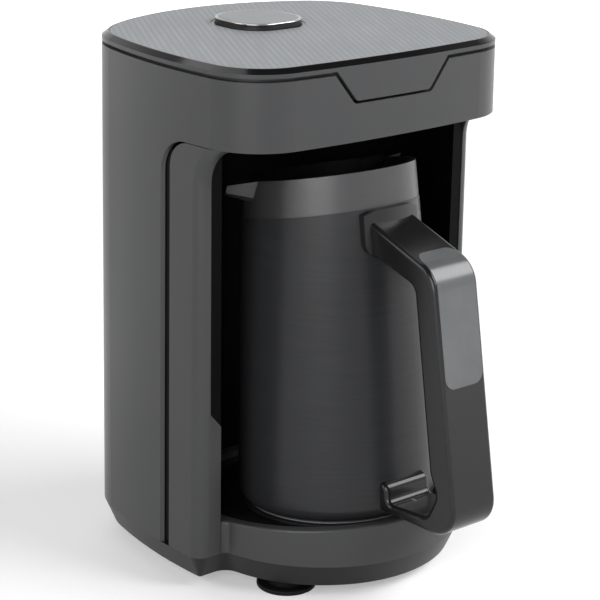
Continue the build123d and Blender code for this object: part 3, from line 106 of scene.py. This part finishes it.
class Recipe:
    """A material made of nodes, with the few links that every finish here needs."""

    def __init__(self, name, colour, roughness, metallic=0.0, specular=0.5):
        self.material = bpy.data.materials.new(name)
        self.material.use_nodes = True
        self.material.diffuse_color = (*colour, 1.0)
        self.tree = self.material.node_tree
        self.shader = self.tree.nodes["Principled BSDF"]
        self.shader.inputs["Base Color"].default_value = (*colour, 1.0)
        self.shader.inputs["Roughness"].default_value = roughness
        self.shader.inputs["Metallic"].default_value = metallic
        self.shader.inputs["Specular IOR Level"].default_value = specular
        self.place = self.add("ShaderNodeTexCoord").outputs["Object"]

    def add(self, kind, **settings):
        node = self.tree.nodes.new(kind)
        for name, value in settings.items():
            setattr(node, name, value)
        return node

    def link(self, start, end):
        self.tree.links.new(start, end)

    def mapped(self, scale=(1, 1, 1), turn=(0, 0, 0)):
        """Object coordinates, stretched and turned."""
        mapping = self.add("ShaderNodeMapping")
        mapping.inputs["Scale"].default_value = scale
        mapping.inputs["Rotation"].default_value = turn
        self.link(self.place, mapping.inputs["Vector"])
        return mapping.outputs["Vector"]

    def noise(self, scale, vector=None, detail=3.0, roughness=0.5):
        texture = self.add("ShaderNodeTexNoise")
        texture.inputs["Scale"].default_value = scale
        texture.inputs["Detail"].default_value = detail
        texture.inputs["Roughness"].default_value = roughness
        self.link(vector or self.place, texture.inputs["Vector"])
        return texture.outputs["Fac"]

    def spread(self, value, low, high, from_low=0.3, from_high=0.7):
        """A texture's value spread over another range."""
        ranged = self.add("ShaderNodeMapRange")
        ranged.inputs["From Min"].default_value = from_low
        ranged.inputs["From Max"].default_value = from_high
        ranged.inputs["To Min"].default_value = low
        ranged.inputs["To Max"].default_value = high
        self.link(value, ranged.inputs["Value"])
        return ranged.outputs["Result"]

    def tint(self, value, dark, light):
        """Base colour between two colours, by a texture's value."""
        mix = self.add("ShaderNodeMix", data_type="RGBA")
        mix.inputs["A"].default_value = (*dark, 1.0)
        mix.inputs["B"].default_value = (*light, 1.0)
        self.link(value, mix.inputs["Factor"])
        self.link(mix.outputs["Result"], self.shader.inputs["Base Color"])
        return mix

    def rough(self, low, high, scale=22.0):
        """Gloss that drifts slowly over the surface.

        A range that crosses a roughness of about 0.27 leaves dark specks after denoising,
        so every finish here keeps to one side of it.
        """
        drift = self.spread(self.noise(scale, detail=0.0), low, high, 0.1, 0.9)
        self.link(drift, self.shader.inputs["Roughness"])

    def bump(self, value, height, strength=1.0):
        """Relief of a given height, in metres."""
        bump = self.add("ShaderNodeBump")
        bump.inputs["Distance"].default_value = height
        bump.inputs["Strength"].default_value = strength
        self.link(value, bump.inputs["Height"])
        self.link(bump.outputs["Normal"], self.shader.inputs["Normal"])
        return bump


def scaled(colour, factor):
    return tuple(channel * factor for channel in colour)


def moulded(name, colour, roughness, grain, height, specular=0.5):
    """Moulded plastic: fine spark-eroded grain, with slow changes of tone and gloss."""
    recipe = Recipe(name, colour, roughness, specular=specular)
    cloud = recipe.noise(14.0, detail=4.0)
    recipe.tint(recipe.spread(cloud, 0.0, 1.0), scaled(colour, 0.95), scaled(colour, 1.05))
    recipe.rough(roughness - GLOSS_BELOW, roughness + GLOSS_ABOVE)
    recipe.bump(recipe.noise(grain, detail=1.0), height, 0.5)
    return recipe.material


def polished(name, colour, roughness, specular=0.5):
    """Polished plastic: smooth, with faint fingertip haze in its gloss."""
    recipe = Recipe(name, colour, roughness, specular=specular)
    haze = recipe.noise(38.0, detail=6.0, roughness=0.6)
    recipe.tint(recipe.spread(haze, 0.0, 1.0), scaled(colour, 0.9), scaled(colour, 1.15))
    recipe.rough(roughness - 0.02, roughness + 0.05)
    recipe.bump(recipe.noise(90.0, detail=1.0), 0.02 * MILLIMETRE, 0.25)
    return recipe.material


def brushed(name, colour, roughness, scale, metallic=1.0, contrast=0.12, specular=0.5):
    """Brushed metal: streaks of tone and gloss drawn out along one direction."""
    recipe = Recipe(name, colour, roughness, metallic=metallic, specular=specular)
    streak = recipe.noise(1.0, recipe.mapped(scale), detail=2.0, roughness=0.6)
    recipe.tint(recipe.spread(streak, 0.0, 1.0), scaled(colour, 1 - contrast), scaled(colour, 1 + contrast))
    recipe.rough(roughness - GLOSS_BELOW, roughness + GLOSS_ABOVE)
    recipe.bump(streak, 0.004 * MILLIMETRE, 0.3)
    return recipe.material


def striped(name, colour, roughness, pitch, turn):
    """Satin metal sheet with fine ruled stripes, each catching the light a little differently."""
    recipe = Recipe(name, colour, roughness, metallic=0.1, specular=0.35)
    across = recipe.mapped((1 / pitch, 1 / pitch, 1 / pitch), (0, 0, turn))
    wave = recipe.add("ShaderNodeTexWave", wave_type="BANDS", bands_direction="X", wave_profile="SIN")
    wave.inputs["Scale"].default_value = STRIPE_WAVE_SCALE
    wave.inputs["Distortion"].default_value = 0.25
    wave.inputs["Detail"].default_value = 1.0
    wave.inputs["Detail Scale"].default_value = 0.4
    recipe.link(across, wave.inputs["Vector"])
    along = recipe.add("ShaderNodeMapping", vector_type="TEXTURE")
    along.inputs["Scale"].default_value = (1.5 * pitch, 12 * pitch, 12 * pitch)
    along.inputs["Rotation"].default_value = (0, 0, -turn)
    recipe.link(recipe.place, along.inputs["Vector"])
    patch = recipe.noise(1.0, along.outputs["Vector"], detail=2.0)
    both = recipe.add("ShaderNodeMath", operation="MULTIPLY")
    recipe.link(wave.outputs["Fac"], both.inputs[0])
    recipe.link(recipe.spread(patch, 0.3, 1.0), both.inputs[1])
    recipe.tint(both.outputs["Value"], scaled(colour, 0.84), scaled(colour, 1.12))
    recipe.rough(roughness - GLOSS_BELOW, roughness + GLOSS_ABOVE)
    recipe.bump(both.outputs["Value"], 0.03 * MILLIMETRE, 0.5)
    return recipe.material


def vessel(name, colour, roughness, node):
    """Brushed steel round a vessel's axis, with painted shade on the faces turned towards the axis."""
    recipe = Recipe(name, colour, roughness, metallic=0.5)
    streak = recipe.noise(1.0, recipe.mapped((60, 60, 1400)), detail=4.0, roughness=0.7)
    outside = recipe.tint(recipe.spread(streak, 0.0, 1.0), scaled(colour, 0.94), scaled(colour, 1.06))
    low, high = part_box(node)
    axis = [(low[i] + high[i]) / 2 for i in range(2)]
    flat = recipe.add("ShaderNodeVectorMath", operation="MULTIPLY_ADD")
    flat.inputs[1].default_value = (1.0, 1.0, 0.0)
    flat.inputs[2].default_value = (-axis[0], -axis[1], 0.0)
    recipe.link(recipe.place, flat.inputs[0])
    outward = recipe.add("ShaderNodeVectorMath", operation="DOT_PRODUCT")
    recipe.link(flat.outputs["Vector"], outward.inputs[0])
    recipe.link(recipe.add("ShaderNodeTexCoord").outputs["Normal"], outward.inputs[1])
    # Painted shade: faces turned towards the axis get a quarter of the colour, for the pot's unlit interior.
    painted_shade_inside = recipe.add("ShaderNodeMath", operation="LESS_THAN")
    painted_shade_inside.inputs[1].default_value = 0.0
    recipe.link(outward.outputs["Value"], painted_shade_inside.inputs[0])
    both = recipe.add("ShaderNodeMix", data_type="RGBA")
    both.inputs["B"].default_value = (*scaled(colour, 0.25), 1.0)
    recipe.link(outside.outputs["Result"], both.inputs["A"])
    recipe.link(painted_shade_inside.outputs["Value"], both.inputs["Factor"])
    recipe.link(both.outputs["Result"], recipe.shader.inputs["Base Color"])
    recipe.rough(roughness - GLOSS_BELOW, roughness + GLOSS_ABOVE)
    recipe.bump(streak, 0.004 * MILLIMETRE, 0.3)
    return recipe.material


def capped(name, colour, cap_colour, roughness, metallic, depth, node):
    """Gloss plastic, with another finish on the uppermost part of its node, down to a given depth."""
    recipe = Recipe(name, colour, roughness, specular=0.4)
    height = recipe.add("ShaderNodeSeparateXYZ")
    recipe.link(recipe.place, height.inputs["Vector"])
    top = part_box(node)[1][2]
    cap = recipe.add("ShaderNodeMapRange")
    cap.inputs["From Min"].default_value = top - depth - 0.1 * MILLIMETRE
    cap.inputs["From Max"].default_value = top - depth
    recipe.link(height.outputs["Z"], cap.inputs["Value"])
    worn = recipe.add("ShaderNodeMath", operation="MULTIPLY")
    recipe.link(cap.outputs["Result"], worn.inputs[0])
    recipe.link(recipe.spread(recipe.noise(120.0, detail=4.0), 0.92, 1.0), worn.inputs[1])
    recipe.tint(worn.outputs["Value"], colour, cap_colour)
    shine = recipe.add("ShaderNodeMath", operation="MULTIPLY")
    shine.inputs[1].default_value = metallic
    recipe.link(cap.outputs["Result"], shine.inputs[0])
    recipe.link(shine.outputs["Value"], recipe.shader.inputs["Metallic"])
    recipe.rough(roughness - GLOSS_BELOW, roughness + GLOSS_ABOVE)
    return recipe.material


def dress(material, *names):
    """Gives CAD nodes their material."""
    for name in names:
        node = nodes[name]
        node.data.materials.clear()
        node.data.materials.append(material)


# ---------------------------------------------------------------- finishes

shell_grey = moulded("shell_grey", SHELL_GREY, 0.32, 1500.0, 0.01 * MILLIMETRE, specular=0.30)
tray_grey = moulded("tray_grey", TRAY_GREY, 0.38, 1400.0, 0.02 * MILLIMETRE, specular=0.25)
trim_gloss = polished("trim_gloss", TRIM_GREY, 0.10, specular=0.4)
black_gloss = polished("black_gloss", GLOSS_BLACK, 0.17, specular=0.32)
cavity_black = moulded("cavity_black", CAVITY_BLACK, 0.42, 1500.0, 0.03 * MILLIMETRE, specular=0.05)
lid_silver = striped("lid_silver", LID_SILVER, 0.46, STRIPE_PITCH, STRIPE_TURN)
button_silver = capped("button_silver", GLOSS_BLACK, LID_SILVER, 0.42, 0.15, 1.2 * MILLIMETRE,
                       "power_button")
sleeve_grey = brushed("sleeve_grey", SLEEVE_GREY, 0.32, (40, 40, 700), metallic=0.0, contrast=0.10, specular=0.2)
band_steel = vessel("band_steel", BAND_STEEL, 0.36, "pot_liner")
steel = brushed("brushed_steel", STEEL, 0.32, (80, 80, 1400), contrast=0.08)
inset_grey = polished("inset_grey", INSET_GREY, 0.20, specular=0.4)
bright_edge = capped("bright_edge", GLOSS_BLACK, scaled(STEEL, 1.1), 0.20, 1.0, 0.4 * MILLIMETRE, "button_ring")
zinc = brushed("zinc", ZINC, 0.32, (500, 500, 500), contrast=0.10)
plate_coating = moulded("plate_coating", PLATE_GREY, 0.34, 1800.0, 0.05 * MILLIMETRE)
rubber = moulded("rubber", RUBBER_BLACK, 0.62, 1200.0, 0.03 * MILLIMETRE, specular=0.12)
silicone = moulded("silicone", scaled(RUBBER_BLACK, 3.0), 0.48, 1600.0, 0.04 * MILLIMETRE)
board_green = moulded("board_green", BOARD_GREEN, 0.33, 700.0, 0.02 * MILLIMETRE)
parts_dark = moulded("parts_dark", scaled(TRAY_GREY, 1.6), 0.40, 1500.0, 0.03 * MILLIMETRE)
lens_dark = polished("lens_dark", (0.020, 0.004, 0.006), 0.05)

dress(shell_grey, "outer_shell", "left_column", "right_column", "platform_ring", "lid_frame")
dress(tray_grey, "base_tray", "head_underside")
dress(trim_gloss, "lid_trim")
dress(black_gloss, "platform_dish", "handle_body", "handle_collar", "button_guide")
dress(cavity_black, "cavity_liner")
dress(lid_silver, "lid_plate")
dress(button_silver, "power_button")
dress(bright_edge, "button_ring")
dress(sleeve_grey, "pot_sleeve")
dress(band_steel, "pot_liner")
dress(steel, "pot_base_disc")
dress(inset_grey, "handle_inset")
dress(plate_coating, "heating_plate")
dress(rubber, "rubber_feet")
dress(silicone, "plate_seal", "cord_gland")
dress(zinc, "heating_element", "heat_shield", "thermal_fuse", "temperature_sensor", "board_screws",
      "base_screws", "handle_studs")
dress(board_green, "control_board", "power_board")
dress(parts_dark, "thermostat", "tact_switch", "board_components", "power_board_parts", "froth_sensor")
dress(lens_dark, "sensor_window")

# ---------------------------------------------------------------- button spring


def make_spring():
    """Coiled spring under the button: round wire in an even coil."""
    low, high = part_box("button_spring")
    radius = (high[0] - low[0]) / 2 - SPRING_WIRE_RADIUS
    rise = high[2] - low[2] - 2 * SPRING_WIRE_RADIUS
    foot = Vector(((low[0] + high[0]) / 2, (low[1] + high[1]) / 2, low[2] + SPRING_WIRE_RADIUS))
    mesh = bmesh.new()
    rings = []
    steps = round(SPRING_TURNS * SPRING_STEPS)
    for step in range(steps + 1):
        share = step / steps
        angle = 2 * math.pi * SPRING_TURNS * share
        outward = Vector((math.cos(angle), math.sin(angle), 0))
        climb = rise / (2 * math.pi * SPRING_TURNS)
        along = Vector((-outward.y * radius, outward.x * radius, climb)).normalized()
        across = along.cross(outward)
        middle = foot + radius * outward + Vector((0, 0, rise * share))
        ring = []
        for side in range(SPRING_SIDES):
            turn = 2 * math.pi * side / SPRING_SIDES
            offset = SPRING_WIRE_RADIUS * (math.cos(turn) * outward + math.sin(turn) * across)
            ring.append(mesh.verts.new(middle + offset))
        rings.append(ring)
    for ring, following in zip(rings, rings[1:]):
        for side in range(SPRING_SIDES):
            after = (side + 1) % SPRING_SIDES
            mesh.faces.new((ring[side], ring[after], following[after], following[side]))
    mesh.faces.new(rings[0])
    mesh.faces.new(rings[-1])
    bmesh.ops.recalc_face_normals(mesh, faces=mesh.faces)
    for face in mesh.faces:
        face.smooth = len(face.verts) == 4
    data = bpy.data.meshes.new("coiled_spring")
    mesh.to_mesh(data)
    mesh.free()
    data.materials.append(zinc)
    spring = bpy.data.objects.new("coiled_spring", data)
    bpy.context.scene.collection.objects.link(spring)
    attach(spring, "machine")
    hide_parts("button_spring")
    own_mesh(spring)


make_spring()

# ---------------------------------------------------------------- camera


def make_camera():
    """Camera at the photograph's angle, turned a little about its own line of sight."""
    data = bpy.data.cameras.new("camera")
    data.lens = CAMERA_LENS
    data.sensor_width = SENSOR_WIDTH
    data.clip_start = 0.05
    data.clip_end = 20.0
    camera = bpy.data.objects.new("camera", data)
    bpy.context.scene.collection.objects.link(camera)
    back = (CAMERA_PLACE - CAMERA_TARGET).normalized()
    right = Vector((0, 0, 1)).cross(back).normalized()
    up = back.cross(right)
    rolled_right = right * math.cos(CAMERA_ROLL) + up * math.sin(CAMERA_ROLL)
    rolled_up = up * math.cos(CAMERA_ROLL) - right * math.sin(CAMERA_ROLL)
    turn = Matrix((rolled_right, rolled_up, back)).transposed()
    camera.matrix_world = Matrix.Translation(CAMERA_PLACE) @ turn.to_4x4()
    bpy.context.scene.camera = camera


make_camera()

# ---------------------------------------------------------------- floor, backdrop and light


def make_floor():
    """Pale floor just under the feet: white to the eye and in reflections, with a soft shadow."""
    half = FLOOR_SIZE / 2
    mesh = bpy.data.meshes.new("floor")
    corners = [(-half, -half, 0), (half, -half, 0), (half, half, 0), (-half, half, 0)]
    mesh.from_pydata(corners, [], [(0, 1, 2, 3)])
    floor = bpy.data.objects.new("floor", mesh)
    bpy.context.scene.collection.objects.link(floor)
    recipe = Recipe("floor", FLOOR_WHITE, 0.8, specular=0.2)
    recipe.tint(recipe.spread(recipe.noise(3.0), 0.0, 1.0), scaled(FLOOR_WHITE, 0.99), scaled(FLOOR_WHITE, 1.01))
    recipe.shader.inputs["Emission Color"].default_value = (1.0, 1.0, 1.0, 1.0)
    distance = recipe.add("ShaderNodeVectorMath", operation="LENGTH")
    recipe.link(recipe.place, distance.inputs[0])
    lift = recipe.spread(distance.outputs["Value"], FLOOR_LIFT, FAR_FLOOR_LIFT, FAR_FLOOR_START, FAR_FLOOR_END)
    strength = recipe.add("ShaderNodeMath", operation="MULTIPLY")
    recipe.link(background_rays(recipe.tree), strength.inputs[0])
    recipe.link(lift, strength.inputs[1])
    recipe.link(strength.outputs["Value"], recipe.shader.inputs["Emission Strength"])
    mesh.materials.append(recipe.material)


def background_rays(tree):
    """One for camera, glossy and transmission rays, and zero for the rays that light the object."""
    path = tree.nodes.new("ShaderNodeLightPath")
    seen = path.outputs["Is Camera Ray"]
    for other in ("Is Transmission Ray", "Is Glossy Ray"):
        either = tree.nodes.new("ShaderNodeMath")
        either.operation = "MAXIMUM"
        tree.links.new(seen, either.inputs[0])
        tree.links.new(path.outputs[other], either.inputs[1])
        seen = either.outputs["Value"]
    return seen


def ranged(tree, value, low, high):
    """A value from zero to one, brought to another range."""
    node = tree.nodes.new("ShaderNodeMapRange")
    node.inputs["To Min"].default_value = low
    node.inputs["To Max"].default_value = high
    tree.links.new(value, node.inputs["Value"])
    return node.outputs["Result"]


def make_world():
    """White all round for the camera, softer as light, with a darker ceiling for reflections."""
    world = bpy.data.worlds.new("studio")
    bpy.context.scene.world = world
    world.use_nodes = True
    tree = world.node_tree
    background = tree.nodes["Background"]
    direction = tree.nodes.new("ShaderNodeTexCoord")
    parts = tree.nodes.new("ShaderNodeSeparateXYZ")
    tree.links.new(direction.outputs["Generated"], parts.inputs["Vector"])
    overhead = tree.nodes.new("ShaderNodeMapRange")
    overhead.inputs["From Min"].default_value = CEILING_START
    overhead.inputs["From Max"].default_value = CEILING_END
    tree.links.new(parts.outputs["Z"], overhead.inputs["Value"])
    shade = tree.nodes.new("ShaderNodeMix")
    shade.data_type = "RGBA"
    shade.inputs["A"].default_value = (1.0, 1.0, 1.0, 1.0)
    shade.inputs["B"].default_value = (CEILING_SHADE, CEILING_SHADE, CEILING_SHADE, 1.0)
    tree.links.new(overhead.outputs["Result"], shade.inputs["Factor"])
    tree.links.new(shade.outputs["Result"], background.inputs["Color"])
    strength = ranged(tree, background_rays(tree), WORLD_LIGHT, 1.0)
    tree.links.new(strength, background.inputs["Strength"])


def make_lamp(name, place, target, width, height, power):
    """Soft rectangular studio lamp."""
    data = bpy.data.lights.new(name, "AREA")
    data.shape = "RECTANGLE"
    data.size = width
    data.size_y = height
    data.energy = power
    lamp = bpy.data.objects.new(name, data)
    bpy.context.scene.collection.objects.link(lamp)
    lamp.location = place
    lamp.rotation_mode = "QUATERNION"
    lamp.rotation_quaternion = (Vector(target) - Vector(place)).to_track_quat("-Z", "Y")


# Name, place, target, width and height in metres, power in watts
LAMPS = (
    ("rear_left", (-1.9, 0.95, 1.1), (0, 0, 0.12), 1.4, 1.4, 13.0),
    ("left", (-1.7, -1.15, 0.8), (0, 0, 0.10), 1.5, 1.3, 30.0),
    ("front_right", (1.4, -1.5, 1.8), (0, 0, 0.12), 2.4, 1.4, 88.0),
    ("top", (0.2, 1.0, 2.0), (0, 0, 0.15), 1.8, 1.4, 12.0),
)

make_floor()
make_world()
for lamp_settings in LAMPS:
    make_lamp(*lamp_settings)

scene = bpy.context.scene
scene.view_settings.view_transform = "Standard"
